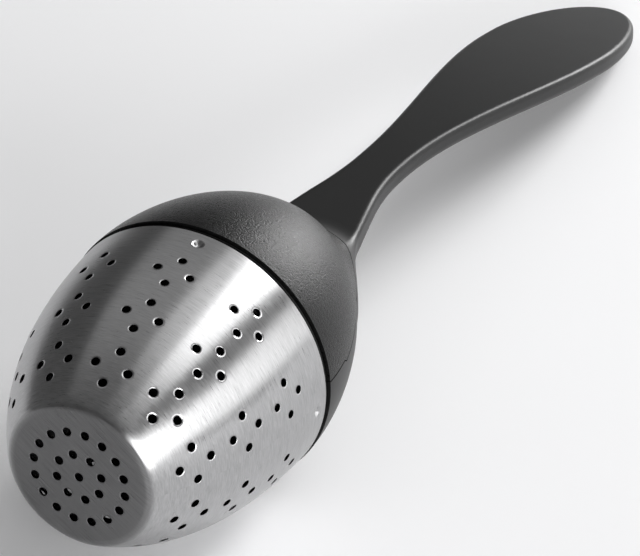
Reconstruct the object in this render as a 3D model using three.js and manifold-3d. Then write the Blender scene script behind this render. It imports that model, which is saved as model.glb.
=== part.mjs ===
// A handled tea infuser, in millimetres.
// A perforated steel cup and a plastic dome make an egg. The back of the dome and the long
// handle are one moulding, the front of the dome is a separate shell, and both close round a
// black collar. The collar reaches down inside the cup's mouth. Four dimples pressed inwards
// near the cup's rim run in the collar's L-shaped slots: turn the cup, then pull it off.
//
// The pieces are modelled upright: axis on +Z, base of the cup at z = 0, front towards +X.
// The finished group is then laid on its back, with the axis along +X and the front facing +Z,
// so that it rests on the dome and on the back of the handle's tip.

import * as THREE from 'three';
import { mergeVertices } from 'three/addons/utils/BufferGeometryUtils.js';
import Module from 'manifold-3d';

const wasm = await Module();
wasm.setup();

// Overall sizes
const LENGTH = 232;
const DOME_RADIUS = 29;
const GAP = 0.3;
const SEGMENTS = 40;

// Cup
const CUP_HEIGHT = 46.75;
const CUP_WALL = 0.5;
const SIDE_BASE_RADIUS = 15.4;
const SIDE_BASE_SLOPE = 0.7;
const SIDE_RIM_RADIUS = 28.8;
const SIDE_RIM_SLOPE = 0.014;
const BASE_FLAT_RADIUS = 13.75;
const BASE_CORNER_RADIUS = 3;
const BASE_CORNER_TURN = 56.8;
const HOLE_RADIUS = 0.9;
const HOLE_FACETS = 6;
const HOLE_COLUMNS = 10;
const COLUMN_START = 5;
const HOLE_SIDE_STEP = 3.55;
const BASE_RINGS = [
  { radius: 5, count: 8, start: 29.5 },
  { radius: 10, count: 16, start: 7.2 },
];
// Each level of diamonds: the heights of its low, middle and high holes, and its turn in degrees
const DIAMONDS = [
  { low: 5.9, middle: 9.25, high: 12.5, turn: 0.8 },
  { low: 17.9, middle: 21.4, high: 24.7, turn: -0.1 },
  { low: 30.4, middle: 34, high: 37.5, turn: -0.55 },
];

// Dimples in the cup, and the collar's slots for them
const DIMPLES = 4;
const DIMPLE_START = 4.5;
const DIMPLE_HEIGHT = 43.8;
const DIMPLE_RADIUS = 1.6;
const DIMPLE_DEPTH = 1.1;
const DIMPLE_FACETS = 8;
const SLOT_HALF_WIDTH = DIMPLE_RADIUS + 0.4;
const LOCK_TURN = 30;

// Collar, seal and cover
const COLLAR_BOTTOM = 38.5;
const COLLAR_TOP = 52.6;
const COLLAR_INNER_RADIUS = 24.6;
const COLLAR_NECK_RADIUS = 26.2;
const COLLAR_FOOT_RADIUS = 27.3;
const COLLAR_SHOULDER_RADIUS = 27.85;
const SLOT_FLOOR_RADIUS = 26.4;
const SEAL_OUTER_RADIUS = 28.3;
const LEDGE_HEIGHT = 50;
const LEDGE_WIDTH = 0.8;
const COVER_THICKNESS = 1.5;

// Dome
const DOME_BOTTOM = 48.35;
const DOME_CENTRE = 47.8;
const DOME_HEIGHT = 43.3;
const DOME_POWER = 1.75;
const DOME_WALL = 2;
const DOME_STEPS = 12;
const SEAM_X = 2.4;

// Handle. Widths are halves, and heights are from the base of the cup.
const HANDLE_SIDES = 16;
const HANDLE_STEPS = 32;
const HANDLE_ROOT = 78;
const HANDLE_FRONT = 1.2;
const HANDLE_BEND_START = 106;
const HANDLE_BEND_POWER = 1.6;
const HANDLE_END_SETBACK = 25.08;
const HANDLE_THICKNESS = 4.6;
const HANDLE_END_RADIUS = 2.3;
const NECK_WIDTH = 5.06;
const FLARE_START = 125;
const FLARE_RADIUS = 71;
const FLARE_SLOPE = 0.22;
const SWELL_START = 127;
const SWELL_END = 197;
const PADDLE_WIDTH = 12.7;
const PADDLE_END_START = 200;
const PADDLE_END_POWER = 1.82;
// Where the handle runs into the dome it is wider, thicker and further forward. Each of these
// has its most at the height given and fades over the distance given.
const ROOT_WIDENING = { most: 5.8, height: HANDLE_ROOT, fade: 6 };
const ROOT_THICKENING = { most: 3.6, height: 84, fade: 14 };
const ROOT_ADVANCE = { most: 2.5, height: 91, fade: 4 };

const steel = new THREE.MeshStandardMaterial({ color: 0xb9b9bb, roughness: 0.32, metalness: 1 });
const grained = new THREE.MeshStandardMaterial({ color: 0x4a4a4c, roughness: 0.62, metalness: 0 });
const smooth = new THREE.MeshStandardMaterial({ color: 0x424244, roughness: 0.48, metalness: 0 });
const black = new THREE.MeshStandardMaterial({ color: 0x131314, roughness: 0.5, metalness: 0 });
const silicone = new THREE.MeshStandardMaterial({ color: 0x2a2a2b, roughness: 0.7, metalness: 0 });

// ---------------------------------------------------------------- solids

// A closed three.js geometry as a manifold solid.
function solid(geometry) {
  geometry.deleteAttribute('normal');
  geometry.deleteAttribute('uv');
  const merged = mergeVertices(geometry);
  const corners = merged.index.array;
  const triangles = [];
  for (let i = 0; i < corners.length; i += 3) {
    const [a, b, c] = corners.slice(i, i + 3);
    if (a !== b && b !== c && c !== a) triangles.push(a, b, c);
  }
  return new wasm.Manifold(new wasm.Mesh({
    numProp: 3,
    vertProperties: Float32Array.from(merged.attributes.position.array),
    triVerts: Uint32Array.from(triangles),
  }));
}

function piece(name, body, material) {
  const { vertProperties, triVerts } = body.getMesh();
  const geometry = new THREE.BufferGeometry();
  geometry.setAttribute('position', new THREE.BufferAttribute(vertProperties, 3));
  geometry.setIndex(new THREE.BufferAttribute(triVerts, 1));
  const mesh = new THREE.Mesh(geometry, material);
  mesh.name = name;
  return mesh;
}

// A profile of [radius, height] points, anticlockwise, turned about the Z axis.
// One facet edge lies at the angle given.
function turned(profile, degrees = 0) {
  const points = profile.map(([radius, height]) => new THREE.Vector2(radius, height));
  const geometry = new THREE.LatheGeometry(points, SEGMENTS).rotateX(Math.PI / 2);
  return solid(geometry.rotateZ(THREE.MathUtils.degToRad(degrees)));
}

// A straight round or six-sided pin from a point along a direction.
function pin(start, direction, radius, length, sides) {
  const geometry = new THREE.CylinderGeometry(radius, radius, length, sides);
  const middle = start.clone().addScaledVector(direction, length / 2);
  const turn = new THREE.Quaternion().setFromUnitVectors(new THREE.Vector3(0, 1, 0), direction);
  geometry.applyQuaternion(turn);
  geometry.translate(middle.x, middle.y, middle.z);
  return solid(geometry);
}

function block(low, high) {
  const size = high.clone().sub(low);
  const middle = low.clone().add(high).divideScalar(2);
  return solid(new THREE.BoxGeometry(size.x, size.y, size.z).translate(middle.x, middle.y, middle.z));
}

function polar(radius, degrees, height) {
  const angle = THREE.MathUtils.degToRad(degrees);
  return new THREE.Vector3(radius * Math.cos(angle), radius * Math.sin(angle), height);
}

// ---------------------------------------------------------------- cup

// Outer radius of the cup's side: a cubic, steep at the base and almost upright at the rim.
function cupRadius(height) {
  const t = height / CUP_HEIGHT;
  const atBase = (1 + 2 * t) * (1 - t) ** 2 * SIDE_BASE_RADIUS;
  const atRim = (3 - 2 * t) * t ** 2 * SIDE_RIM_RADIUS;
  const leaving = t * (1 - t) ** 2 * CUP_HEIGHT * SIDE_BASE_SLOPE;
  const arriving = (t - 1) * t ** 2 * CUP_HEIGHT * SIDE_RIM_SLOPE;
  return atBase + atRim + leaving + arriving;
}

function cupSlope(height) {
  return (cupRadius(height + 0.1) - cupRadius(height - 0.1)) / 0.2;
}

function cupNormal(degrees, height) {
  const outward = polar(1, degrees, -cupSlope(height));
  return outward.normalize();
}

// The rounded corner between the base and the side, for the outer or the inner surface.
function baseCorner(radius) {
  return [0, 0.5, 1].map((share) => {
    const turn = THREE.MathUtils.degToRad(BASE_CORNER_TURN * share);
    return [BASE_FLAT_RADIUS + radius * Math.sin(turn), BASE_CORNER_RADIUS - radius * Math.cos(turn)];
  });
}

// The side's facets meet between the holes, so that each hole lies within one flat facet.
function cupShell() {
  const facetEdge = COLUMN_START + 180 / SEGMENTS;
  const between = (a, b) => (a + b) / 2;
  const heights = [];
  for (const { low, middle, high } of DIAMONDS) {
    heights.push(between(low, middle), between(middle, high), high + 3);
  }
  heights.push(CUP_HEIGHT);
  const outside = [[0, 0], ...baseCorner(BASE_CORNER_RADIUS), ...heights.map((h) => [cupRadius(h), h])];
  const inside = heights.map((h) => {
    const lean = Math.hypot(1, cupSlope(h));
    return [cupRadius(h) - CUP_WALL * lean, h];
  });
  inside.unshift([0, CUP_WALL], ...baseCorner(BASE_CORNER_RADIUS - CUP_WALL));
  return turned([...outside, ...inside.reverse()], facetEdge);
}

function sideHole(degrees, height) {
  const normal = cupNormal(degrees, height);
  const start = polar(cupRadius(height), degrees, height).addScaledVector(normal, -2);
  return pin(start, normal, HOLE_RADIUS, 4, HOLE_FACETS);
}

function cupHoles() {
  const holes = [];
  for (let column = 0; column < HOLE_COLUMNS; column += 1) {
    for (const { low, middle, high, turn } of DIAMONDS) {
      const degrees = COLUMN_START + (360 / HOLE_COLUMNS) * column + turn;
      const side = THREE.MathUtils.radToDeg(HOLE_SIDE_STEP / cupRadius(middle));
      holes.push(sideHole(degrees, low));
      holes.push(sideHole(degrees - side, middle));
      holes.push(sideHole(degrees + side, middle));
      holes.push(sideHole(degrees, high));
    }
  }
  const up = new THREE.Vector3(0, 0, 1);
  holes.push(pin(new THREE.Vector3(0, 0, -1), up, HOLE_RADIUS, 3, HOLE_FACETS));
  for (const { radius, count, start } of BASE_RINGS) {
    for (let i = 0; i < count; i += 1) {
      const place = polar(radius, start + (360 / count) * i, -1);
      holes.push(pin(place, up, HOLE_RADIUS, 3, HOLE_FACETS));
    }
  }
  return holes;
}

function infuserCup() {
  const bosses = [];
  const recesses = [];
  const rimRadius = cupRadius(DIMPLE_HEIGHT);
  for (let i = 0; i < DIMPLES; i += 1) {
    const degrees = DIMPLE_START + (360 / DIMPLES) * i;
    const inward = polar(-1, degrees, 0);
    const bossStart = polar(rimRadius - CUP_WALL / 2, degrees, DIMPLE_HEIGHT);
    bosses.push(pin(bossStart, inward, DIMPLE_RADIUS, CUP_WALL / 2 + DIMPLE_DEPTH, DIMPLE_FACETS));
    const recessStart = polar(rimRadius + 1, degrees, DIMPLE_HEIGHT);
    recesses.push(pin(recessStart, inward, DIMPLE_RADIUS - CUP_WALL, 1 + DIMPLE_DEPTH, DIMPLE_FACETS));
  }
  const pressed = bosses.reduce((cup, boss) => cup.add(boss), cupShell());
  return [...recesses, ...cupHoles()].reduce((cup, cutter) => cup.subtract(cutter), pressed);
}

// ---------------------------------------------------------------- collar, seal and cover

// One L-shaped slot: straight up from the collar's lower edge, then round by the locking turn.
function slot(degrees) {
  const top = DIMPLE_HEIGHT + SLOT_HALF_WIDTH;
  const entry = block(
    new THREE.Vector3(SLOT_FLOOR_RADIUS, -SLOT_HALF_WIDTH, COLLAR_BOTTOM - 1),
    new THREE.Vector3(DOME_RADIUS, SLOT_HALF_WIDTH, top),
  );
  const spread = SLOT_HALF_WIDTH / SLOT_FLOOR_RADIUS;
  const end = THREE.MathUtils.degToRad(LOCK_TURN) + spread;
  const sector = new THREE.Shape();
  sector.absarc(0, 0, DOME_RADIUS, 0, end, false);
  sector.absarc(0, 0, SLOT_FLOOR_RADIUS, end, 0, true);
  const depth = 2 * SLOT_HALF_WIDTH;
  const way = new THREE.ExtrudeGeometry(sector, { depth, bevelEnabled: false, curveSegments: 6 });
  const run = solid(way.translate(0, 0, DIMPLE_HEIGHT - SLOT_HALF_WIDTH));
  return entry.add(run).rotate([0, 0, degrees]);
}

function bayonetCollar() {
  const ledgeRadius = COLLAR_INNER_RADIUS + LEDGE_WIDTH;
  let collar = turned([
    [COLLAR_INNER_RADIUS, COLLAR_BOTTOM],
    [COLLAR_FOOT_RADIUS, COLLAR_BOTTOM],
    [COLLAR_SHOULDER_RADIUS, CUP_HEIGHT],
    [COLLAR_NECK_RADIUS, CUP_HEIGHT],
    [COLLAR_NECK_RADIUS, COLLAR_TOP],
    [ledgeRadius, COLLAR_TOP],
    [ledgeRadius, LEDGE_HEIGHT],
    [COLLAR_INNER_RADIUS, LEDGE_HEIGHT],
    [COLLAR_INNER_RADIUS, COLLAR_BOTTOM],
  ]);
  for (let i = 0; i < DIMPLES; i += 1) {
    collar = collar.subtract(slot(DIMPLE_START + (360 / DIMPLES) * i));
  }
  return collar;
}

function sealRing() {
  const bottom = CUP_HEIGHT + GAP;
  const top = DOME_BOTTOM - GAP;
  const inner = COLLAR_NECK_RADIUS + GAP;
  return turned([
    [inner, bottom],
    [SEAL_OUTER_RADIUS, bottom],
    [SEAL_OUTER_RADIUS, top],
    [inner, top],
    [inner, bottom],
  ]);
}

function collarCover() {
  const radius = COLLAR_INNER_RADIUS + LEDGE_WIDTH - GAP;
  const bottom = LEDGE_HEIGHT + GAP;
  const top = bottom + COVER_THICKNESS;
  return turned([[0, bottom], [radius, bottom], [radius, top], [0, top]]);
}

// ---------------------------------------------------------------- dome

// Radius of a dome whose wall lies the given depth inside the outer surface.
function domeRadius(height, depth) {
  const rise = Math.max(0, height - DOME_CENTRE) / (DOME_HEIGHT - depth);
  return (DOME_RADIUS - depth) * Math.max(0, 1 - rise ** DOME_POWER) ** (1 / DOME_POWER);
}

// The solid under a dome surface, from the height given up to the top of the dome.
function domeBody(bottom, depth) {
  const top = DOME_CENTRE + DOME_HEIGHT - depth;
  const profile = [[0, bottom]];
  for (let i = 0; i < DOME_STEPS; i += 1) {
    const height = bottom + (top - bottom) * Math.sin((i / DOME_STEPS) * (Math.PI / 2));
    profile.push([domeRadius(height, depth), height]);
  }
  profile.push([0, top]);
  return turned(profile);
}

// Everything in front of the seam, or everything behind it.
function frontSide() {
  const reach = 2 * DOME_RADIUS;
  return block(new THREE.Vector3(SEAM_X + GAP / 2, -reach, 0), new THREE.Vector3(reach, reach, LENGTH));
}

function backSide() {
  const reach = 2 * DOME_RADIUS;
  return block(new THREE.Vector3(-reach, -reach, 0), new THREE.Vector3(SEAM_X - GAP / 2, reach, LENGTH + 1));
}

function domeFrontShell() {
  const shell = domeBody(DOME_BOTTOM, 0).subtract(domeBody(DOME_BOTTOM - 1, DOME_WALL));
  return shell.intersect(frontSide());
}

// ---------------------------------------------------------------- handle

function fading({ most, height, fade }, at) {
  return most * Math.exp(-Math.max(0, at - height) / fade);
}

// Distance of the handle's front face behind the egg's axis.
function handleSetback(height) {
  const along = Math.max(0, height - HANDLE_BEND_START) / (LENGTH - HANDLE_BEND_START);
  const bend = (HANDLE_END_SETBACK + HANDLE_FRONT) * along ** HANDLE_BEND_POWER;
  return bend - HANDLE_FRONT - fading(ROOT_ADVANCE, height);
}

// The last stretch of the handle is rounded off.
function handleThickness(height) {
  const past = Math.max(0, height - (LENGTH - HANDLE_END_RADIUS)) / (HANDLE_END_RADIUS * 1.1);
  return (HANDLE_THICKNESS + fading(ROOT_THICKENING, height)) * Math.sqrt(1 - past ** 2);
}

// Half the handle's width: a straight root, an arc into the neck, a swell to the paddle, and a
// rounded end.
function handleWidth(height) {
  const down = Math.max(0, FLARE_START - height);
  const onArc = Math.min(down, FLARE_SLOPE * FLARE_RADIUS);
  const flare = (onArc * (down - onArc / 2)) / FLARE_RADIUS;
  const t = Math.min(1, Math.max(0, (height - SWELL_START) / (SWELL_END - SWELL_START)));
  const swell = (PADDLE_WIDTH - NECK_WIDTH) * (3 - 2 * t) * t ** 2;
  const side = NECK_WIDTH + flare + swell + fading(ROOT_WIDENING, height);
  const end = Math.min(1, Math.max(0, height - PADDLE_END_START) / (LENGTH - PADDLE_END_START));
  return Math.max(1, side * Math.sqrt(1 - end ** PADDLE_END_POWER));
}

// The handle's sections are rounded rectangles, closer together towards the end.
function handleBlade() {
  const geometry = new THREE.CylinderGeometry(1, 1, 1, HANDLE_SIDES, HANDLE_STEPS);
  const position = geometry.attributes.position;
  const rounded = (value) => Math.sign(value) * Math.sqrt(Math.abs(value));
  for (let i = 0; i < position.count; i += 1) {
    const share = position.getY(i) + 0.5;
    const height = HANDLE_ROOT + (LENGTH - HANDLE_ROOT) * Math.sin(share * (Math.PI / 2));
    const thickness = handleThickness(height);
    const middle = -handleSetback(height) - thickness / 2;
    const x = middle + rounded(position.getX(i)) * (thickness / 2);
    const y = -rounded(position.getZ(i)) * handleWidth(height);
    position.setXYZ(i, x, y, height);
  }
  return solid(geometry);
}

function handleBody() {
  return domeBody(DOME_BOTTOM, 0)
    .add(handleBlade())
    .subtract(domeBody(DOME_BOTTOM - 1, DOME_WALL))
    .intersect(backSide());
}

// ---------------------------------------------------------------- assembly

const upright = new THREE.Group();
upright.add(
  piece('infuser_cup', infuserCup(), steel),
  piece('dome_front_shell', domeFrontShell(), grained),
  piece('handle_body', handleBody(), smooth),
  piece('bayonet_collar', bayonetCollar(), black),
  piece('collar_cover', collarCover(), black),
  piece('seal_ring', sealRing(), silicone),
);

// Lay it down: the axis goes to +X, the front to +Z and the right-hand side to -Y.
upright.quaternion.setFromRotationMatrix(new THREE.Matrix4().makeBasis(
  new THREE.Vector3(0, 0, 1),
  new THREE.Vector3(0, -1, 0),
  new THREE.Vector3(1, 0, 0),
));
upright.position.set(-LENGTH / 2, 0, DOME_RADIUS);

const infuser = new THREE.Group();
infuser.add(upright);

export default infuser;
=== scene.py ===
"""The looks of a lying tea infuser: a perforated steel cup, a two-shell plastic dome and a long handle.

Shapes are worked out upright in millimetres, with the egg's axis on +z, the base of the cup at
z = 0 and the front of the handle towards +x, and are then laid down where the frame holds them.
"""

import math

import bmesh
import bpy
import numpy as np
from mathutils import Matrix, Vector
from mathutils.geometry import delaunay_2d_cdt


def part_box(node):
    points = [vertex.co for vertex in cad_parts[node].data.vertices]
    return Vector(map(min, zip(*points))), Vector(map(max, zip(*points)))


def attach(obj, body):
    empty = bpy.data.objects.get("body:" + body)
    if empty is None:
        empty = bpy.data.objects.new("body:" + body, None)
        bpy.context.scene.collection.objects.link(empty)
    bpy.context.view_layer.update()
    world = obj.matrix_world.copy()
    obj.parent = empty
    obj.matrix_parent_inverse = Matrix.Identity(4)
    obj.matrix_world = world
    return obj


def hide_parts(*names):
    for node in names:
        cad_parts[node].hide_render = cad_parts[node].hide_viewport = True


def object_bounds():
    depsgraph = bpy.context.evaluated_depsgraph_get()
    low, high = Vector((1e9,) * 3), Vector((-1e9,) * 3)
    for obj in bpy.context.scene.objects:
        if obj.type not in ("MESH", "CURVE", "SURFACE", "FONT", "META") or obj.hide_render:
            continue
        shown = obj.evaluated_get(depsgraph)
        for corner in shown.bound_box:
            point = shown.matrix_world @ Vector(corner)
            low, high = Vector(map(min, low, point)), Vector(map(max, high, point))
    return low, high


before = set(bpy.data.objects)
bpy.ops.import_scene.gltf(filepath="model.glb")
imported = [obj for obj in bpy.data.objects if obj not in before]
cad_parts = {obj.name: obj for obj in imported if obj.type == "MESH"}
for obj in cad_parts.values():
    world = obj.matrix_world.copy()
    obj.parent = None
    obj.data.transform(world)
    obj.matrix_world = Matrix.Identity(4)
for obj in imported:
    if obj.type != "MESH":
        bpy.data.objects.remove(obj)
cad_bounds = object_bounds()

MM = 0.001

# Where the upright egg lies in the frame
cup_low, cup_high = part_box("infuser_cup")
seal_low, seal_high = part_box("seal_ring")
BASE_X = cup_low.x
AXIS_Z = (seal_low.z + seal_high.z) / 2
LENGTH = (cad_bounds[1].x - cad_bounds[0].x) / MM
DOME_RADIUS = AXIS_Z / MM

# Cup
CUP_HEIGHT = (cup_high.x - cup_low.x) / MM
CUP_WALL = 0.5
SIDE_BASE_RADIUS = 15.4
SIDE_BASE_SLOPE = 0.7
SIDE_RIM_RADIUS = 28.8
SIDE_RIM_SLOPE = 0.014
BASE_DISH = 0.3
CORNER_SOFTNESS = 1.1
BASE_HOLE_RADIUS = 0.82
CHAMFER_WIDTH = 0.12
CHAMFER_DEPTH = 0.06
RIM_CREST = 0.12
PROFILE_STEP = 0.05
# The part of the profile that is laid out flat, as the base, and not by angle
FLAT_LAYOUT = 14.0
HOLE_COLUMNS = 10
COLUMN_START = 5.0
HOLE_SIDE_STEP = 3.55
BASE_RINGS = ((0.0, 1, 0.0), (5.0, 8, 29.5), (10.0, 16, 7.2))
# Each level of diamonds: the heights of its low, middle and high holes, a turn and a hole radius
DIAMONDS = (
    (5.9, 9.25, 12.5, 0.8, 0.82),
    (17.9, 21.4, 24.7, -0.1, 0.79),
    (30.4, 34.0, 37.5, -0.55, 0.74),
)
DIMPLES = 4
DIMPLE_START = 4.5
DIMPLE_HEIGHT = 43.8
DIMPLE_DEPTH = 0.8
DIMPLE_FLAT = 0.1
DIMPLE_SLOPE = 1.35
DIMPLE_HALO_DEPTH = 0.1
DIMPLE_HALO = 1.7
# Layout of the cup's mesh: points round a circle, spacing of the rows, and what is kept clear
HOLE_SIDES = 24
DIMPLE_SIDES = 28
HOLE_RING = 1.32
HOLE_MARGIN = 1.5
DIMPLE_MARGIN = 2.75
LATTICE_ROWS = 78
LATTICE_COLUMNS = 240
LATTICE_FULL_RADIUS = 17
LATTICE_SPACING = 0.7

# The brush marks' slant across the base
BASE_BRUSHING = math.radians(-53)

# Dome and handle
DOME_BOTTOM = 48.35
DOME_CENTRE = 47.8
DOME_HEIGHT = 43.3
DOME_POWER = 1.75
DOME_WALL = 2.0
SEAM_GAP = 0.3
# Heights along the seam between the shells, and how far in front of the axis it lies there
SEAM = ((DOME_BOTTOM, 2.2), (56.2, 2.2), (57.3, 1.4), (61, 1.9), (66, 2.7), (72, 3.4), (100, 3.4))
HANDLE_ROOT = 82.0
HANDLE_FRONT = 1.2
HANDLE_THICKNESS = 4.45
ROOT_THICKENING = 1.3
HANDLE_FRONT_EDGE = 1.2
HANDLE_BACK_EDGE = 2.0
ROOT_FILLET = 9.0
BEND_START = 106.0
BEND_POWER = 1.6
END_SETBACK = 24.9
NECK_WIDTH = 5.06
FLARE_START = 125.0
FLARE_RADIUS = 71.0
FLARE_SLOPE = 0.22
SWELL_START = 127.0
SWELL_END = 197.0
PADDLE_START = 200.0
PADDLE_WIDTH = 12.7
PADDLE_POWER = 1.82

# Stage and camera. The camera stands where these directions from the cup's base centre put it.
FLOOR_HALF = 12.0
LIGHT_TARGET = 0.06
CAMERA_TOWARDS = (-0.7348, -0.3793, 0.5623)
CAMERA_RIGHT = (0.4644, -0.885, 0.0099)
CAMERA_PLACE = (46.06, 38.07, 2048.5)
CAMERA_LENS = 603.0

# Collar, seal and cover
COLLAR_BOTTOM = 38.5
COLLAR_TOP = 52.6
COLLAR_INNER = 24.6
COLLAR_NECK = 26.2
COLLAR_FOOT = 27.3
COLLAR_SHOULDER = 27.85
SLOT_FLOOR = 26.4
SLOT_HALF_WIDTH = 2.0
LOCK_TURN = 30.0
LEDGE = 50.0
LEDGE_WIDTH = 0.8
GAP = 0.3
SEAL_RECESS = 27.6
SEAL_LIP = 28.3
COVER_THICKNESS = 1.5
COVER_DISH = 0.35
COVER_DISH_RADIUS = 18.0
COVER_RIM_SLOPE = 0.6
COVER_EDGE = 0.3
COVER_HUB = 0.4


# ---------------------------------------------------------------- mesh helpers

def laid_down(points):
    """Upright millimetres to the frame's metres: the axis goes to +X and the front to +Z."""
    p = np.asarray(points, float).reshape(-1, 3)
    return np.column_stack((BASE_X + p[:, 2] * MM, -p[:, 1] * MM, AXIS_Z + p[:, 0] * MM))


def laid_normals(normals):
    n = np.asarray(normals, float).reshape(-1, 3)
    return np.column_stack((n[:, 2], -n[:, 1], n[:, 0]))


def upright(points):
    p = np.asarray(points, float).reshape(-1, 3)
    return np.column_stack(((p[:, 2] - AXIS_Z) / MM, -p[:, 1] / MM, (p[:, 0] - BASE_X) / MM))


def unit(vectors):
    lengths = np.linalg.norm(vectors, axis=-1, keepdims=True)
    return vectors / np.maximum(lengths, 1e-12)


def new_object(name, points, faces):
    """A smooth-shaded object from upright points in millimetres."""
    mesh = bpy.data.meshes.new(name)
    faces = [list(map(int, face)) for face in faces]
    mesh.from_pydata(laid_down(points).tolist(), [], faces)
    mesh.validate()
    mesh.shade_smooth()
    obj = bpy.data.objects.new(name, mesh)
    bpy.context.scene.collection.objects.link(obj)
    return obj


def finish_piece(obj, body, node, slot, *materials):
    """Gives a piece its materials and body and hides the CAD node it stands for. The slot is not used."""
    obj.data.materials.clear()
    for material in materials:
        obj.data.materials.append(material)
    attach(obj, body)
    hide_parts(node)


def boolean(obj, cutter, operation):
    """Cuts the object's mesh, or keeps what it shares with the cutter, for good."""
    modifier = obj.modifiers.new("cut", "BOOLEAN")
    modifier.operation = operation
    modifier.solver = "EXACT"
    modifier.object = cutter
    bpy.context.view_layer.update()
    evaluated = obj.evaluated_get(bpy.context.evaluated_depsgraph_get())
    mesh = bpy.data.meshes.new_from_object(evaluated)
    obj.modifiers.clear()
    obj.data = mesh


def face_outwards(obj):
    bm = bmesh.new()
    bm.from_mesh(obj.data)
    bmesh.ops.recalc_face_normals(bm, faces=bm.faces)
    bm.to_mesh(obj.data)
    bm.free()


def remove(obj):
    mesh = obj.data
    bpy.data.objects.remove(obj)
    bpy.data.meshes.remove(mesh)


# ---------------------------------------------------------------- cup

def cup_radius(z):
    """Outer radius of the cup's side: a cubic, steep at the base and almost upright at the rim."""
    t = z / CUP_HEIGHT
    at_base = (1 + 2 * t) * (1 - t) ** 2 * SIDE_BASE_RADIUS
    at_rim = (3 - 2 * t) * t ** 2 * SIDE_RIM_RADIUS
    leaving = t * (1 - t) ** 2 * CUP_HEIGHT * SIDE_BASE_SLOPE
    arriving = (t - 1) * t ** 2 * CUP_HEIGHT * SIDE_RIM_SLOPE
    return at_base + at_rim + leaving + arriving


class CupSurface:
    """The cup's outer surface: a place on it is a distance along its profile and an angle.

    The distance runs from the centre of the base, round the corner and up to the rim.
    """

    def __init__(self):
        wall_z = np.arange(0.0, CUP_HEIGHT + 6, PROFILE_STEP)
        wall = np.column_stack((cup_radius(wall_z), wall_z))
        base_r = np.arange(-6.0, 17.0, PROFILE_STEP)
        base = np.column_stack((base_r, BASE_DISH * (base_r / SIDE_BASE_RADIUS) ** 2))
        base = base[base[:, 0] < cup_radius(np.maximum(base[:, 1], 0))]
        wall = wall[wall[:, 1] > base[-1, 1]]
        line = np.vstack((base, wall))
        along = np.concatenate(([0], np.cumsum(np.hypot(*np.diff(line, axis=0).T))))
        even = np.arange(0, along[-1], PROFILE_STEP)
        line = np.column_stack([np.interp(even, along, line[:, i]) for i in (0, 1)])
        width = int(3 * CORNER_SOFTNESS / PROFILE_STEP)
        spread = np.arange(-width, width + 1) * PROFILE_STEP / CORNER_SOFTNESS
        kernel = np.exp(-0.5 * spread ** 2)
        kernel /= kernel.sum()
        soft = np.column_stack([np.convolve(line[:, i], kernel, mode="valid") for i in (0, 1)])
        soft = soft[soft[:, 0] >= 0]
        soft = soft[soft[:, 1] <= CUP_HEIGHT]
        soft[0, 0] = 0
        soft[-1, 1] = CUP_HEIGHT
        self.s = np.concatenate(([0], np.cumsum(np.hypot(*np.diff(soft, axis=0).T))))
        self.r, self.z = soft.T
        self.end = self.s[-1]

    def at_height(self, z):
        """Profile distance at a height on the side."""
        side = self.z > 0.5
        return float(np.interp(z, self.z[side], self.s[side]))

    def profile(self, s):
        return np.interp(s, self.s, self.r), np.interp(s, self.s, self.z)

    def smooth_normal(self, s, angle):
        r0, z0 = self.profile(s - 0.2)
        r1, z1 = self.profile(s + 0.2)
        dr, dz = r1 - r0, z1 - z0
        size = np.hypot(dr, dz)
        return np.column_stack((dz / size * np.cos(angle), dz / size * np.sin(angle), -dr / size))

    def pressed(self, s, angle):
        """How far the dimples press the surface in."""
        r, _ = self.profile(s)
        depth = np.zeros_like(s)
        for i in range(DIMPLES):
            turn = math.radians(DIMPLE_START + 360 / DIMPLES * i)
            aside = (angle - turn + math.pi) % (2 * math.pi) - math.pi
            away = np.hypot(aside * r, s - self.at_height(DIMPLE_HEIGHT))
            t = np.clip((away - DIMPLE_FLAT) / DIMPLE_SLOPE, 0, 1)
            halo = DIMPLE_HALO_DEPTH * np.exp(-(away / DIMPLE_HALO) ** 2)
            depth += DIMPLE_DEPTH * (1 - t * t * (3 - 2 * t)) + halo
        return depth

    def point(self, s, angle, depth=0.0):
        s, angle = np.asarray(s, float), np.asarray(angle, float)
        r, z = self.profile(s)
        flat = np.column_stack((r * np.cos(angle), r * np.sin(angle), z))
        return flat - (self.pressed(s, angle) + depth)[:, None] * self.smooth_normal(s, angle)

    def normal(self, s, angle):
        """The true normal, dimples included."""
        r, _ = self.profile(s)
        step = 0.04
        turn = step / np.maximum(r, 0.5)
        along = self.point(s + step, angle) - self.point(np.abs(s - step), angle)
        across = self.point(s, angle + turn) - self.point(s, angle - turn)
        found = unit(np.cross(across, along))
        near_centre = r < 0.6
        found[near_centre] = (0, 0, -1)
        return found


def cup_holes(surface):
    """(profile distance, angle, radius) of every perforation."""
    holes = []
    for column in range(HOLE_COLUMNS):
        for low, middle, high, turn, radius in DIAMONDS:
            angle = math.radians(COLUMN_START + 360 / HOLE_COLUMNS * column + turn)
            side = HOLE_SIDE_STEP / cup_radius(middle)
            holes.append((surface.at_height(low), angle, radius))
            holes.append((surface.at_height(middle), angle - side, radius))
            holes.append((surface.at_height(middle), angle + side, radius))
            holes.append((surface.at_height(high), angle, radius))
    for distance, count, start in BASE_RINGS:
        for i in range(count):
            holes.append((distance, math.radians(start + 360 / count * i), BASE_HOLE_RADIUS))
    return holes


def ring_round(surface, centre, radius, sides):
    """Profile distances and angles of a circle drawn on the surface."""
    s, angle = centre[:2]
    turn = np.arange(sides) * 2 * math.pi / sides
    if s < FLAT_LAYOUT:
        x = s * math.cos(angle) + radius * np.cos(turn)
        y = s * math.sin(angle) + radius * np.sin(turn)
        return np.hypot(x, y), np.arctan2(y, x)
    r, _ = surface.profile(s)
    return s + radius * np.cos(turn), angle + radius * np.sin(turn) / r


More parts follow.
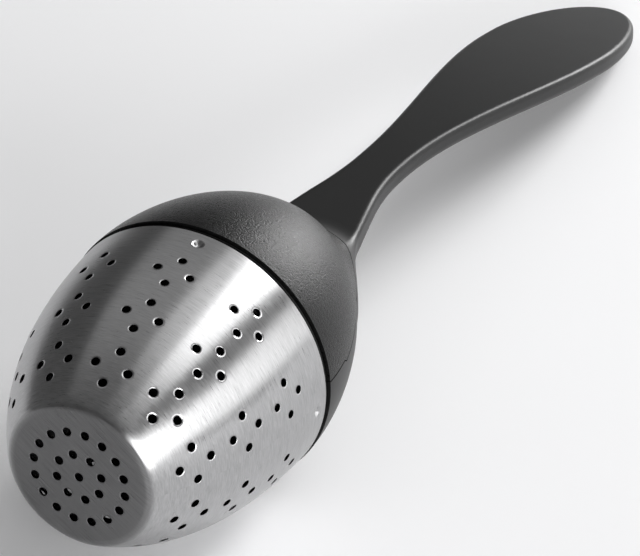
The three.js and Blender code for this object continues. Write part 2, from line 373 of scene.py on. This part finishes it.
def make_cup(material, edge_material):
    """The perforated cup, meshed flat as a disc of points and then raised onto its surface."""
    surface = CupSurface()
    holes = cup_holes(surface)
    sides = HOLE_SIDES
    rim = surface.end

    # The layout has each hole's edge, a ring round it, finer rings in the dimples and a lattice
    layout, keep_clear = [], []
    for centre in holes:
        edge_radius = centre[2] + CHAMFER_WIDTH
        layout.append(np.column_stack(ring_round(surface, centre, edge_radius, sides)))
        keep_clear.append((centre[:2], HOLE_MARGIN))
    for centre in holes:
        layout.append(np.column_stack(ring_round(surface, centre, HOLE_RING, sides)))
    dimple_s = surface.at_height(DIMPLE_HEIGHT)
    for i in range(DIMPLES):
        centre = (dimple_s, math.radians(DIMPLE_START + 360 / DIMPLES * i))
        keep_clear.append((centre, DIMPLE_MARGIN))
        layout.append(np.array([centre]))
        for radius in np.arange(0.25, 2.6, 0.25):
            layout.append(np.column_stack(ring_round(surface, centre, radius, DIMPLE_SIDES)))
    lattice = []
    for row, s in enumerate(np.linspace(0, rim, LATTICE_ROWS)):
        r, _ = surface.profile(s)
        if r > LATTICE_FULL_RADIUS:
            count = LATTICE_COLUMNS
        else:
            count = max(1, int(2 * math.pi * r / LATTICE_SPACING))
        shift = 0 if s == rim else 0.5 * (row % 2)
        angles = (np.arange(count) + shift) * 2 * math.pi / count
        lattice.append(np.column_stack((np.full(count, s), angles)))
    lattice = np.vstack(lattice)
    clear = np.ones(len(lattice), bool)
    radius_at, _ = surface.profile(lattice[:, 0])
    for (s, angle), margin in keep_clear:
        if s < FLAT_LAYOUT:
            x = lattice[:, 0] * np.cos(lattice[:, 1]) - s * math.cos(angle)
            y = lattice[:, 0] * np.sin(lattice[:, 1]) - s * math.sin(angle)
            away = np.hypot(x, y)
        else:
            aside = (lattice[:, 1] - angle + math.pi) % (2 * math.pi) - math.pi
            away = np.hypot(aside * radius_at, lattice[:, 0] - s)
        clear &= away > margin
    layout.append(lattice[clear])
    layout = np.vstack(layout)

    # Triangulate the unrolled cup, then drop the triangles that fill the holes
    distance, turn = layout.T
    flat = [Vector(p) for p in zip(distance * np.cos(turn), distance * np.sin(turn))]
    edges = []
    for i in range(len(holes)):
        edges += [(i * sides + k, i * sides + (k + 1) % sides) for k in range(sides)]
    coords, _, faces, origins, _, _ = delaunay_2d_cdt(flat, edges, [], 0, 1e-6)
    source = np.array([o[0] if o else -1 for o in origins])
    place = np.array([layout[k] if k >= 0 else (0, 0) for k in source])
    for k in np.nonzero(source < 0)[0]:
        place[k] = (math.hypot(*coords[k]), math.atan2(coords[k][1], coords[k][0]))
    hole_of = np.where((source >= 0) & (source < len(holes) * sides), source // sides, -1)
    triangles = np.array(faces)
    labels = hole_of[triangles]
    filler = (labels[:, 0] >= 0) & (labels[:, 0] == labels[:, 1]) & (labels[:, 1] == labels[:, 2])
    triangles = triangles[~filler]
    p = [np.array([coords[k] for k in triangles[:, i]]) for i in range(3)]
    area = np.cross(p[1] - p[0], p[2] - p[0])
    triangles[area < 0] = triangles[area < 0][:, ::-1]
    triangles = triangles[np.abs(area) > 1e-9]

    s, angle = place.T
    count = len(s)
    normal = surface.normal(s, angle)
    outer = surface.point(s, angle)
    inner = surface.point(s, angle, CUP_WALL)
    at_output = {int(k): i for i, k in enumerate(source) if k >= 0}
    points = [outer, inner]
    polygons, corner_normals, finishes = [], [], []

    def add(polygon, normals, finish=0):
        polygons.append(polygon)
        finishes.append(finish)
        corner_normals.extend(normals)

    # The layout is anticlockwise seen from above, which is the inside of the cup
    for a, b, c in triangles:
        add((a, c, b), (normal[a], normal[c], normal[b]))
        add((count + a, count + b, count + c), (-normal[a], -normal[b], -normal[c]))

    # Chamfer and wall of each hole
    total = 2 * count
    for i, centre in enumerate(holes):
        edge = [at_output[i * sides + k] for k in range(sides)]
        ring = np.column_stack(ring_round(surface, centre, centre[2], sides))
        low = surface.point(ring[:, 0], ring[:, 1], CHAMFER_DEPTH)
        points.append(low)
        middle = low.mean(0)
        inward = unit(middle - low)
        facing = unit(normal[edge] * CHAMFER_WIDTH + inward * CHAMFER_DEPTH)
        for k in range(sides):
            n = (k + 1) % sides
            a, b, c, d = edge[k], edge[n], total + n, total + k
            # The chamfer faces take the second material, steel lightened as a painted highlight
            add((a, b, c, d), (facing[k], facing[n], facing[n], facing[k]), 1)
            e, f = count + edge[n], count + edge[k]
            add((d, c, e, f), (inward[k], inward[n], inward[n], inward[k]))
        total += sides

    # Rounded rim
    on_rim = np.nonzero(s > rim - 1e-6)[0]
    on_rim = on_rim[np.argsort(angle[on_rim] % (2 * math.pi))]
    up = np.array((0, 0, 1.0))
    crest = (outer[on_rim] + inner[on_rim]) / 2 + up * RIM_CREST
    points.append(crest)
    size = len(on_rim)
    for k in range(size):
        n = (k + 1) % size
        a, b = on_rim[k], on_rim[n]
        c, d = total + n, total + k
        tilt_a, tilt_b = unit(normal[a] * 0.7 + up), unit(normal[b] * 0.7 + up)
        add((a, b, c, d), (tilt_a, tilt_b, up, up))
        back_a, back_b = unit(up - normal[a] * 0.7), unit(up - normal[b] * 0.7)
        add((d, c, count + b, count + a), (up, up, back_b, back_a))

    obj = new_object("steel_cup", np.vstack(points), polygons)
    obj.data.normals_split_custom_set(laid_normals(np.array(corner_normals)).tolist())
    finish_piece(obj, "cup", "infuser_cup", "steel", material, edge_material)
    obj.data.polygons.foreach_set("material_index", finishes)


# ---------------------------------------------------------------- dome and handle

def half_width(z):
    """Half the handle's width: a straight root, an arc into the neck and a swell to the paddle."""
    down = np.maximum(FLARE_START - z, 0)
    on_arc = np.minimum(down, FLARE_SLOPE * FLARE_RADIUS)
    flare = on_arc * (down - on_arc / 2) / FLARE_RADIUS
    t = np.clip((z - SWELL_START) / (SWELL_END - SWELL_START), 0, 1)
    return NECK_WIDTH + flare + (PADDLE_WIDTH - NECK_WIDTH) * (3 - 2 * t) * t ** 2


def outline_distance(y, z):
    """Distance outside the handle's outline, seen from the front."""
    w = half_width(z)
    slope = (half_width(z + 0.05) - half_width(z - 0.05)) / 0.1
    side = (np.abs(y) - w) / np.sqrt(1 + slope ** 2)
    reach = LENGTH - PADDLE_START
    t = np.maximum(z - PADDLE_START, 0) / reach
    q = np.abs(y) / PADDLE_WIDTH
    level = q ** 2 + t ** PADDLE_POWER - 1
    steep = np.hypot(2 * q / PADDLE_WIDTH, PADDLE_POWER * t ** (PADDLE_POWER - 1) / reach)
    end = level / np.maximum(steep, 0.05)
    return np.where(z > PADDLE_START, end, side)


def handle_setback(z):
    along = np.maximum(z - BEND_START, 0) / (LENGTH - BEND_START)
    return (END_SETBACK + HANDLE_FRONT) * along ** BEND_POWER - HANDLE_FRONT


def handle_distance(x, y, z):
    thickness = HANDLE_THICKNESS + ROOT_THICKENING * np.exp(-np.maximum(z - 100, 0) / 16)
    slope = (handle_setback(z + 0.05) - handle_setback(z - 0.05)) / 0.1
    u = (x + handle_setback(z) + thickness / 2) / np.sqrt(1 + slope ** 2)
    rounding = np.where(u > 0, HANDLE_FRONT_EDGE, HANDLE_BACK_EDGE)
    a = np.abs(u) - (thickness / 2 - rounding)
    b = outline_distance(y, z) + rounding
    blade = np.hypot(np.maximum(a, 0), np.maximum(b, 0)) + np.minimum(np.maximum(a, b), 0) - rounding
    return np.maximum(blade, HANDLE_ROOT - z)


def dome_distance(x, y, z, depth):
    radius, height = DOME_RADIUS - depth, DOME_HEIGHT - depth
    r = np.maximum(np.hypot(x, y) / radius, 1e-6)
    t = np.maximum((z - DOME_CENTRE) / height, 1e-6)
    size = (r ** DOME_POWER + t ** DOME_POWER) ** (1 / DOME_POWER)
    shrink = size ** (1 - DOME_POWER)
    steep = shrink * np.hypot(r ** (DOME_POWER - 1) / radius, t ** (DOME_POWER - 1) / height)
    return (size - 1) / np.maximum(steep, 1e-3)


def joined(a, b, fillet):
    """The union of two solids with a round fillet."""
    inner = np.hypot(np.maximum(fillet - a, 0), np.maximum(fillet - b, 0))
    return np.maximum(fillet, np.minimum(a, b)) - inner


def top_distance(p):
    """Signed distance, near enough, to the dome and handle as one hollow moulding."""
    x, y, z = p[..., 0], p[..., 1], p[..., 2]
    outside = joined(dome_distance(x, y, z, 0), handle_distance(x, y, z), ROOT_FILLET)
    outside = np.maximum(outside, DOME_BOTTOM - 1 - z)
    return np.maximum(outside, -dome_distance(x, y, z, DOME_WALL))


def gradient(f, p):
    step = 0.02
    found = np.empty_like(p)
    for i in range(3):
        d = np.zeros(3)
        d[i] = step
        found[..., i] = (f(p + d) - f(p - d)) / (2 * step)
    return found


def surface_net(f, low, high, cell):
    """Quads over the surface where f is 0: one point for each grid cell that the surface crosses."""
    axes = [np.arange(a, b + cell, cell) for a, b in zip(low, high)]
    values = np.empty([len(a) for a in axes])
    across = np.stack(np.meshgrid(axes[0], axes[1], indexing="ij"), -1)
    for k, z in enumerate(axes[2]):
        values[:, :, k] = f(np.concatenate((across, np.full(across.shape[:2] + (1,), z)), -1))
    inside = values < 0
    cells = [n - 1 for n in values.shape]
    total = np.zeros(cells + [3])
    hits = np.zeros(cells)
    crossings = []
    for axis in range(3):
        near = [slice(None)] * 3
        far = [slice(None)] * 3
        near[axis], far[axis] = slice(0, -1), slice(1, None)
        v0, v1 = values[tuple(near)], values[tuple(far)]
        crossed = (v0 < 0) != (v1 < 0)
        spot = np.argwhere(crossed)
        share = v0[crossed] / (v0[crossed] - v1[crossed])
        where = spot.astype(float)
        where[:, axis] += share
        crossings.append((axis, spot, inside[tuple(near)][crossed]))
        others = [i for i in range(3) if i != axis]
        for da in (0, 1):
            for db in (0, 1):
                cell_at = spot.copy()
                cell_at[:, others[0]] -= da
                cell_at[:, others[1]] -= db
                valid = np.all((cell_at >= 0) & (cell_at < cells), axis=1)
                key = tuple(cell_at[valid].T)
                np.add.at(total, key, where[valid])
                np.add.at(hits, key, 1)
    used = hits > 0
    number = np.full(cells, -1)
    number[used] = np.arange(used.sum())
    points = np.array(low) + total[used] / hits[used][:, None] * cell
    quads = []
    for axis, spot, starts_inside in crossings:
        b, c = (axis + 1) % 3, (axis + 2) % 3
        corners = []
        for db, dc in ((0, 0), (1, 0), (1, 1), (0, 1)):
            at = spot.copy()
            at[:, b] -= db
            at[:, c] -= dc
            corners.append(number[tuple(at.T)])
        quad = np.column_stack(corners)
        quad[~starts_inside] = quad[~starts_inside][:, ::-1]
        quads.append(quad)
    return points, np.vstack(quads)


def settle(f, points, rounds):
    """Moves points onto the surface where f is 0."""
    for _ in range(rounds):
        g = gradient(f, points)
        step = f(points)[:, None] * g / np.maximum((g ** 2).sum(1), 0.05)[:, None]
        points = points - np.clip(step, -0.4, 0.4)
    return points


def seam_block(name, offset, far):
    """A solid on one side of the seam, which has one small step in it, from the dome's rim up."""
    top = LENGTH + 5
    outline = [(front + offset, z) for z, front in SEAM] + [(SEAM[-1][1] + offset, top), (far, top)]
    outline.append((far, DOME_BOTTOM))
    points = [(x, y, z) for y in (-50, 50) for x, z in outline]
    n = len(outline)
    faces = [tuple(range(n)), tuple(range(2 * n - 1, n - 1, -1))]
    faces += [(k, k + n, (k + 1) % n + n, (k + 1) % n) for k in range(n)]
    obj = new_object(name, points, faces)
    face_outwards(obj)
    return obj


def shade_from(obj, f):
    """Gives the mesh the exact normals of the surface f = 0, and leaves cut faces flat."""
    mesh = obj.data
    mesh.shade_smooth()
    loops = len(mesh.loops)
    vertex = np.empty(loops, int)
    mesh.loops.foreach_get("vertex_index", vertex)
    co = np.empty(len(mesh.vertices) * 3)
    mesh.vertices.foreach_get("co", co)
    co = upright(co.reshape(-1, 3))
    polygons = len(mesh.polygons)
    totals = np.empty(polygons, int)
    mesh.polygons.foreach_get("loop_total", totals)
    centres = np.empty(polygons * 3)
    mesh.polygons.foreach_get("center", centres)
    centres = upright(centres.reshape(-1, 3))
    flat = np.empty(polygons * 3)
    mesh.polygons.foreach_get("normal", flat)
    flat = flat.reshape(-1, 3)
    flat = np.column_stack((flat[:, 2], -flat[:, 1], flat[:, 0]))
    owner = np.repeat(np.arange(polygons), totals)
    spots = co[vertex] * 0.85 + centres[owner] * 0.15
    exact = unit(gradient(f, spots))
    agrees = (exact * flat[owner]).sum(1) > 0.75
    near = np.abs(f(spots)) < 0.12
    chosen = np.where((agrees & near)[:, None], exact, flat[owner])
    mesh.normals_split_custom_set(laid_normals(chosen).tolist())


def make_top(grained, smooth):
    """The dome and handle, split along the seam into the front shell and the handle's moulding."""
    cell = 0.55
    low = (-31.0, -31.0, DOME_BOTTOM - 2)
    high = (31.0, 31.0, LENGTH + 2)
    points, quads = surface_net(top_distance, low, high, cell)
    points = settle(top_distance, points, 4)
    back = new_object("handle_moulding", points, quads)
    front = new_object("dome_front", points, quads)
    block_front = seam_block("seam_front_block", SEAM_GAP / 2, 60)
    block_back = seam_block("seam_back_block", -SEAM_GAP / 2, -60)
    boolean(front, block_front, "INTERSECT")
    boolean(back, block_back, "INTERSECT")
    remove(block_front)
    remove(block_back)
    shade_from(front, top_distance)
    shade_from(back, top_distance)
    finish_piece(front, "top", "dome_front_shell", "grained_plastic", grained)
    finish_piece(back, "top", "handle_body", "smooth_plastic", smooth)


# ---------------------------------------------------------------- collar, seal and cover

def softened(profile, radius, steps=3):
    """A closed profile with its corners rounded by the radius given, or by less where a side is short."""
    points = [np.array(p, float) for p in profile]
    n = len(points)
    out = []
    for k in range(n):
        before, corner, after = points[k - 1], points[k], points[(k + 1) % n]
        a, b = before - corner, after - corner
        cut = min(radius, np.linalg.norm(a) * 0.45, np.linalg.norm(b) * 0.45)
        start, end = corner + a / np.linalg.norm(a) * cut, corner + b / np.linalg.norm(b) * cut
        for i in range(steps + 1):
            t = i / steps
            out.append((1 - t) ** 2 * start + 2 * t * (1 - t) * corner + t * t * end)
    return out


def ring_solid(name, profile, segments=200):
    """A closed [radius, height] profile turned about the axis."""
    n = len(profile)
    points = []
    for k in range(segments):
        a = 2 * math.pi * k / segments
        points += [(r * math.cos(a), r * math.sin(a), z) for r, z in profile]
    faces = []
    for k in range(segments):
        m = (k + 1) % segments
        faces += [(k * n + i, m * n + i, m * n + (i + 1) % n, k * n + (i + 1) % n) for i in range(n)]
    return new_object(name, points, faces)


def mark_sharp(obj, degrees):
    obj.data.set_sharp_from_angle(angle=math.radians(degrees))


def slot_cutter(degrees):
    """One L-shaped slot: up from the collar's lower edge, then round by the locking turn."""
    half = SLOT_HALF_WIDTH
    low, high = COLLAR_BOTTOM - 1, DIMPLE_HEIGHT + half
    spread = half / SLOT_FLOOR
    end = math.radians(LOCK_TURN) + spread
    steps = 24
    entry = 4
    angles = [-spread + 2 * spread * k / entry for k in range(entry)]
    angles += [spread + (end - spread) * k / steps for k in range(steps + 1)]
    points, faces = [], []
    for k, a in enumerate(angles):
        bottom = low if k <= entry else DIMPLE_HEIGHT - half
        turn = a + math.radians(degrees)
        for r, z in ((SLOT_FLOOR, bottom), (30, bottom), (30, high), (SLOT_FLOOR, high)):
            points.append((r * math.cos(turn), r * math.sin(turn), z))
    # A second section where the entry ends and the run begins
    last = entry
    step_at = len(points)
    turn = angles[last] + math.radians(degrees)
    for r, z in ((SLOT_FLOOR, DIMPLE_HEIGHT - half), (30, DIMPLE_HEIGHT - half)):
        points.append((r * math.cos(turn), r * math.sin(turn), z))
    for k in range(len(angles) - 1):
        a, b = k * 4, (k + 1) * 4
        first = [a, a + 1, a + 2, a + 3]
        if k == last:
            first = [step_at, step_at + 1, a + 2, a + 3]
        for i in range(4):
            j = (i + 1) % 4
            faces.append((first[i], first[j], b + j, b + i))
    e = last * 4
    faces.append((e, e + 1, step_at + 1, step_at))
    # The entry's end section shares its upper corners, so its inner and outer sides are split there
    faces.append((3, 2, 1, 0))
    tail = (len(angles) - 1) * 4
    faces.append((tail, tail + 1, tail + 2, tail + 3))
    obj = new_object("slot_cutter", points, faces)
    face_outwards(obj)
    return obj


def make_collar(material):
    ledge = COLLAR_INNER + LEDGE_WIDTH
    profile = softened([
        (COLLAR_INNER, COLLAR_BOTTOM),
        (COLLAR_FOOT, COLLAR_BOTTOM),
        (COLLAR_SHOULDER, CUP_HEIGHT),
        (COLLAR_NECK, CUP_HEIGHT),
        (COLLAR_NECK, COLLAR_TOP),
        (ledge, COLLAR_TOP),
        (ledge, LEDGE),
        (COLLAR_INNER, LEDGE),
    ], 0.35)
    obj = ring_solid("collar", profile)
    for i in range(DIMPLES):
        cutter = slot_cutter(DIMPLE_START + 360 / DIMPLES * i)
        boolean(obj, cutter, "DIFFERENCE")
        remove(cutter)
    obj.data.shade_smooth()
    mark_sharp(obj, 40)
    finish_piece(obj, "top", "bayonet_collar", "black_plastic", material)


def make_seal(material):
    inner = COLLAR_NECK + GAP
    low, high = CUP_HEIGHT + GAP, DOME_BOTTOM - GAP
    middle = (low + high) / 2
    profile = softened([
        (inner, low),
        (SEAL_RECESS, low),
        (SEAL_RECESS, middle),
        (SEAL_LIP, middle + 0.2),
        (SEAL_LIP, high),
        (inner, high),
    ], 0.12)
    obj = ring_solid("seal", profile)
    mark_sharp(obj, 40)
    finish_piece(obj, "seal", "seal_ring", "silicone", material)


def make_cover(material):
    radius = COLLAR_INNER + LEDGE_WIDTH - GAP
    low = LEDGE + GAP
    high = low + COVER_THICKNESS
    profile = [
        (COVER_HUB, low + COVER_DISH),
        (COVER_DISH_RADIUS, low + COVER_DISH),
        (COVER_DISH_RADIUS + COVER_RIM_SLOPE, low),
        (radius - COVER_EDGE, low),
        (radius, low + COVER_EDGE),
        (radius, high - COVER_EDGE),
        (radius - COVER_EDGE, high),
        (COVER_HUB, high),
    ]
    obj = ring_solid("cover", profile)
    bm = bmesh.new()
    bm.from_mesh(obj.data)
    bm.faces.ensure_lookup_table()
    # The turned profile leaves a fine hole on the axis, which is closed flat
    hub = [
        face for face in bm.faces
        if all(Vector(upright(v.co)[0]).xy.length < COVER_HUB + 0.01 for v in face.verts)
    ]
    bmesh.ops.delete(bm, geom=hub, context="FACES")
    bmesh.ops.holes_fill(bm, edges=[e for e in bm.edges if e.is_boundary], sides=0)
    bm.to_mesh(obj.data)
    bm.free()
    obj.data.shade_smooth()
    mark_sharp(obj, 30)
    finish_piece(obj, "top", "collar_cover", "black_plastic", material)


# ---------------------------------------------------------------- materials

class Nodes:
    """Short calls for building a material's nodes."""

    def __init__(self, name):
        self.material = bpy.data.materials.new(name)
        self.material.use_nodes = True
        self.tree = self.material.node_tree
        self.shader = self.tree.nodes["Principled BSDF"]

    def add(self, kind, **settings):
        node = self.tree.nodes.new(kind)
        for key, value in settings.items():
            setattr(node, key, value)
        return node

    def link(self, source, target):
        self.tree.links.new(source, target)

    def math(self, operation, a, b=None):
        node = self.add("ShaderNodeMath", operation=operation)
        for i, value in enumerate((a, b)):
            if value is None:
                continue
            if isinstance(value, (int, float)):
                node.inputs[i].default_value = value
            else:
                self.link(value, node.inputs[i])
        return node.outputs[0]

    def vector(self, x, y, z=0.0):
        node = self.add("ShaderNodeCombineXYZ")
        for i, value in enumerate((x, y, z)):
            if isinstance(value, (int, float)):
                node.inputs[i].default_value = value
            else:
                self.link(value, node.inputs[i])
        return node.outputs[0]

    def noise(self, vector, scale, detail=2.0, roughness=0.5):
        node = self.add("ShaderNodeTexNoise")
        node.inputs["Scale"].default_value = scale
        node.inputs["Detail"].default_value = detail
        node.inputs["Roughness"].default_value = roughness
        self.link(vector, node.inputs["Vector"])
        return node.outputs["Fac"]

    def span(self, value, low, high, from_low=0.0, from_high=1.0):
        node = self.add("ShaderNodeMapRange")
        node.inputs["From Min"].default_value = from_low
        node.inputs["From Max"].default_value = from_high
        node.inputs["To Min"].default_value = low
        node.inputs["To Max"].default_value = high
        self.link(value, node.inputs["Value"])
        return node.outputs["Result"]

    def mix(self, factor, a, b):
        """Colours or numbers a and b, mixed as colours."""
        node = self.add("ShaderNodeMix", data_type="RGBA")
        for socket, value in ((node.inputs["Factor"], factor), (node.inputs["A"], a), (node.inputs["B"], b)):
            if isinstance(value, (int, float, tuple)):
                socket.default_value = value
            else:
                self.link(value, socket)
        return node.outputs["Result"]

    def bump(self, height, distance, strength=1.0):
        node = self.add("ShaderNodeBump")
        node.inputs["Strength"].default_value = strength
        node.inputs["Distance"].default_value = distance
        self.link(height, node.inputs["Height"])
        return node.outputs["Normal"]

    def place(self):
        """Millimetres from the cup's base centre, in the piece's own frame, as one vector."""
        coords = self.add("ShaderNodeTexCoord").outputs["Object"]
        shift = self.add("ShaderNodeVectorMath", operation="SUBTRACT")
        self.link(coords, shift.inputs[0])
        shift.inputs[1].default_value = (BASE_X, 0, AXIS_Z)
        scale = self.add("ShaderNodeVectorMath", operation="SCALE")
        scale.inputs["Scale"].default_value = 1 / MM
        self.link(shift.outputs[0], scale.inputs[0])
        return scale.outputs[0]

    def parts(self, vector):
        """The x, y and z of a vector."""
        node = self.add("ShaderNodeSeparateXYZ")
        self.link(vector, node.inputs[0])
        return tuple(node.outputs)


def grey(value):
    return (value, value, value * 1.01, 1)


def steel_material():
    """Steel brushed round the cup's side and straight across its base."""
    m = Nodes("brushed_steel")
    shader = m.shader
    shader.inputs["Metallic"].default_value = 1.0
    shader.inputs["Anisotropic"].default_value = 0.8
    shader.inputs["Anisotropic Rotation"].default_value = 0.25
    where = m.place()
    x, y, z = m.parts(where)
    turn = m.math("MULTIPLY", m.math("ARCTAN2", z, y), 25.0)

    # Round the side the brush marks are thin across the axis and long round it
    fine_place = m.vector(m.math("MULTIPLY", x, 4.6), m.math("MULTIPLY", turn, 0.3))
    side_fine = m.noise(fine_place, 1.0, 3.0, 0.7)
    wide_place = m.vector(m.math("MULTIPLY", x, 0.9), m.math("MULTIPLY", turn, 0.05), 3.0)
    side_wide = m.noise(wide_place, 1.0)
    # Across the base they are straight
    c, s = math.cos(BASE_BRUSHING), math.sin(BASE_BRUSHING)
    across = m.math("ADD", m.math("MULTIPLY", y, c), m.math("MULTIPLY", z, s))
    along = m.math("SUBTRACT", m.math("MULTIPLY", z, c), m.math("MULTIPLY", y, s))
    base_place = m.vector(m.math("MULTIPLY", across, 5.0), m.math("MULTIPLY", along, 0.14), 7.0)
    base_fine = m.noise(base_place, 1.0, 3.0, 0.6)
    on_side = m.span(x, 0.0, 1.0, 0.35, 0.9)
    fine = m.span(m.mix(on_side, base_fine, side_fine), 0.0, 1.0, 0.28, 0.72)
    blotch = m.noise(where, 0.12, 3.0, 0.5)

    tone = m.mix(fine, grey(0.33), grey(0.53))
    tone = m.mix(m.span(side_wide, 0.0, 0.35, 0.35, 0.75), tone, grey(0.52))
    # Painted shade: the steel's colour is darkened on the base, up to 0.62 of the way to near black, fading
    # out 1.2 mm up the side
    tone = m.mix(m.span(x, 0.62, 0.0, 0.3, 1.2), tone, grey(0.01))
    m.link(tone, shader.inputs["Base Color"])
    rough = m.math("ADD", m.span(fine, 0.26, 0.34), m.span(blotch, -0.02, 0.03))
    m.link(rough, shader.inputs["Roughness"])
    m.link(m.bump(fine, 0.00001, 0.55), shader.inputs["Normal"])
    # The tangent follows the marks: round the axis on the side, straight on the base
    round_axis = m.add("ShaderNodeTangent", direction_type="RADIAL", axis="X").outputs[0]
    straight = m.vector(0.0, -s, c)
    m.link(m.mix(on_side, straight, round_axis), shader.inputs["Tangent"])
    return m.material


def highlight_edge_material():
    """Brighter steel for the chamfer round each hole: a painted highlight."""
    m = Nodes("painted_highlight_edge")
    shader = m.shader
    shader.inputs["Metallic"].default_value = 1.0
    fine = m.noise(m.place(), 8.0)
    m.link(m.mix(fine, grey(0.8), grey(0.92)), shader.inputs["Base Color"])
    m.link(m.span(fine, 0.4, 0.5), shader.inputs["Roughness"])
    return m.material


def grained_material():
    """Black plastic with a fine moulded grain."""
    m = Nodes("grained_plastic")
    shader = m.shader
    where = m.place()
    grain = m.span(m.noise(where, 2.1, 3.0, 0.7), 0.0, 1.0, 0.3, 0.7)
    broad = m.noise(where, 0.25)
    tone = m.mix(grain, grey(0.0005), grey(0.009))
    tone = m.mix(m.span(broad, 0.0, 0.25), tone, grey(0.003))
    m.link(tone, shader.inputs["Base Color"])
    m.link(m.span(grain, 0.24, 0.44), shader.inputs["Roughness"])
    m.link(m.bump(grain, 0.00006), shader.inputs["Normal"])
    shader.inputs["Specular IOR Level"].default_value = 0.24
    return m.material


def smooth_material():
    """Black plastic with a satin finish."""
    m = Nodes("smooth_plastic")
    shader = m.shader
    where = m.place()
    satin = m.noise(where, 6.0, 3.0, 0.6)
    broad = m.noise(where, 0.08, 3.0, 0.5)
    tone = m.mix(satin, grey(0.003), grey(0.008))
    tone = m.mix(m.span(broad, 0.0, 0.3), tone, grey(0.007))
    m.link(tone, shader.inputs["Base Color"])
    rough = m.math("ADD", m.span(satin, 0.38, 0.46), m.span(broad, -0.03, 0.03))
    m.link(rough, shader.inputs["Roughness"])
    shader.inputs["Specular IOR Level"].default_value = 0.36
    m.link(m.bump(satin, 0.00001, 0.4), shader.inputs["Normal"])
    return m.material


def dark_material(name, tones, roughness, scale):
    """A plain dark material, between two tones and two values of roughness."""
    m = Nodes(name)
    shader = m.shader
    grain = m.noise(m.place(), scale, 3.0, 0.6)
    m.link(m.mix(grain, grey(tones[0]), grey(tones[1])), shader.inputs["Base Color"])
    m.link(m.span(grain, *roughness), shader.inputs["Roughness"])
    shader.inputs["Specular IOR Level"].default_value = 0.2
    m.link(m.bump(grain, 0.00003, 0.5), shader.inputs["Normal"])
    return m.material


# ---------------------------------------------------------------- stage, lights and camera

def make_stage():
    """A plain pale floor."""
    mesh = bpy.data.meshes.new("floor")
    h = FLOOR_HALF
    mesh.from_pydata([(-h, -h, 0), (h, -h, 0), (h, h, 0), (-h, h, 0)], [], [(0, 1, 2, 3)])
    floor = bpy.data.objects.new("floor", mesh)
    bpy.context.scene.collection.objects.link(floor)
    m = Nodes("floor")
    tone = m.mix(m.noise(m.place(), 0.01), grey(0.95), grey(0.98))
    m.link(tone, m.shader.inputs["Base Color"])
    m.shader.inputs["Roughness"].default_value = 0.9
    m.shader.inputs["Specular IOR Level"].default_value = 0.1
    mesh.materials.append(m.material)


def make_world(strength):
    """Plain white light from all round."""
    world = bpy.data.worlds.new("studio")
    world.use_nodes = True
    background = world.node_tree.nodes["Background"]
    background.inputs["Color"].default_value = (1, 1, 1, 1)
    background.inputs["Strength"].default_value = strength
    bpy.context.scene.world = world
    bpy.context.scene.view_settings.view_transform = "Standard"


def softbox(name, turn, lean, distance, width, height, strength):
    """A rectangular light aimed at the egg.

    turn is the angle round the egg's axis, from straight up towards the right-hand side, and lean
    is how far the light stands towards the cup's base. The height runs along the egg's axis.
    """
    a, b = math.radians(turn), math.radians(lean)
    target = Vector((BASE_X + LIGHT_TARGET, 0, AXIS_Z))
    towards = Vector((-math.sin(b), -math.sin(a) * math.cos(b), math.cos(a) * math.cos(b)))
    across = Vector((0, -math.cos(a), -math.sin(a)))
    along = towards.cross(across)
    light = bpy.data.lights.new(name, "AREA")
    light.shape = "RECTANGLE"
    light.size = width
    light.size_y = height
    light.energy = strength * width * height
    obj = bpy.data.objects.new(name, light)
    bpy.context.scene.collection.objects.link(obj)
    turned = Matrix((across, along, towards)).transposed().to_4x4()
    obj.matrix_world = Matrix.Translation(target + towards * distance) @ turned


def make_camera():
    """The camera looks from below the cup's base and from its right, a little above the axis."""
    towards = Vector(CAMERA_TOWARDS).normalized()
    right = Vector(CAMERA_RIGHT)
    right = (right - right.dot(towards) * towards).normalized()
    up = towards.cross(right)
    data = bpy.data.cameras.new("camera")
    data.sensor_width = 36.0
    data.lens = CAMERA_LENS
    data.clip_start, data.clip_end = 0.1, 100.0
    camera = bpy.data.objects.new("camera", data)
    bpy.context.scene.collection.objects.link(camera)
    aside, above, away = CAMERA_PLACE
    offset = (right * aside + up * above + towards * away) * MM
    turn = Matrix((right, up, towards)).transposed().to_4x4()
    camera.matrix_world = Matrix.Translation(Vector((BASE_X, 0, AXIS_Z)) + offset) @ turn
    bpy.context.scene.camera = camera


# ---------------------------------------------------------------- build

make_camera()
make_stage()
make_world(0.11)
softbox("key", 30, -25, 1.2, 0.38, 1.3, 8)
softbox("soft", 13, -25, 1.2, 0.46, 1.3, 3.0)
softbox("faint", -21, -25, 1.2, 1.0, 1.3, 1.0)
softbox("rim", 28, -72, 1.2, 0.36, 0.6, 48)
softbox("side", 73, -18, 1.3, 0.52, 1.6, 6)
softbox("front", 78, 42, 1.3, 0.8, 0.9, 26)

steel = steel_material()
grained = grained_material()
smooth = smooth_material()
black = dark_material("black_plastic", (0.002, 0.004), (0.5, 0.65), 3.0)
rubber = dark_material("silicone", (0.003, 0.007), (0.35, 0.5), 4.0)

make_cup(steel, highlight_edge_material())
make_top(grained, smooth)
make_collar(black)
make_seal(rubber)
make_cover(black)
